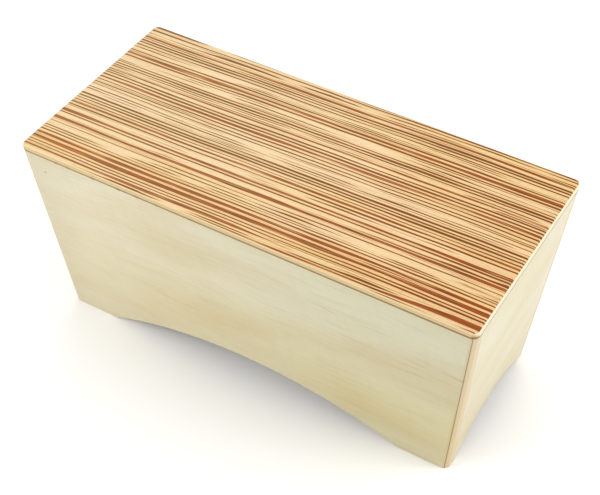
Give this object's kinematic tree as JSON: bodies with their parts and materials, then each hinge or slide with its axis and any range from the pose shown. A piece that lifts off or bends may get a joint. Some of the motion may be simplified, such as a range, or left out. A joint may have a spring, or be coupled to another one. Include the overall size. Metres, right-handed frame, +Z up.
{
  "type": "bongo cajon",
  "caption": "Low plywood box drum with a striped veneer playing board, walls that lean in towards the floor and arched openings between its feet.",
  "frame": {"origin": "on the floor under the middle of the drum", "axes": "+Z up, +X along the length, -Y towards the player's side, where the camera of the picture stands; the small chamber is towards -X"},
  "size_m": [0.3994, 0.1894, 0.187],
  "materials": {
    "zebrano_veneer": "satin lacquer",
    "board_plywood": "satin lacquer",
    "wall_plywood": "satin lacquer",
    "divider_plywood": "raw sanded",
    "softwood": "raw sawn"
  },
  "bodies": {
    "root": {"playing_veneer": "zebrano_veneer", "playing_board": "board_plywood", "front_panel": "wall_plywood", "back_panel": "wall_plywood", "right_end_panel": "wall_plywood", "left_end_panel": "wall_plywood", "divider_panel": "divider_plywood", "corner_block_front_right": "softwood", "corner_block_back_right": "softwood", "corner_block_back_left": "softwood", "corner_block_front_left": "softwood"}
  },
  "joints": []
}
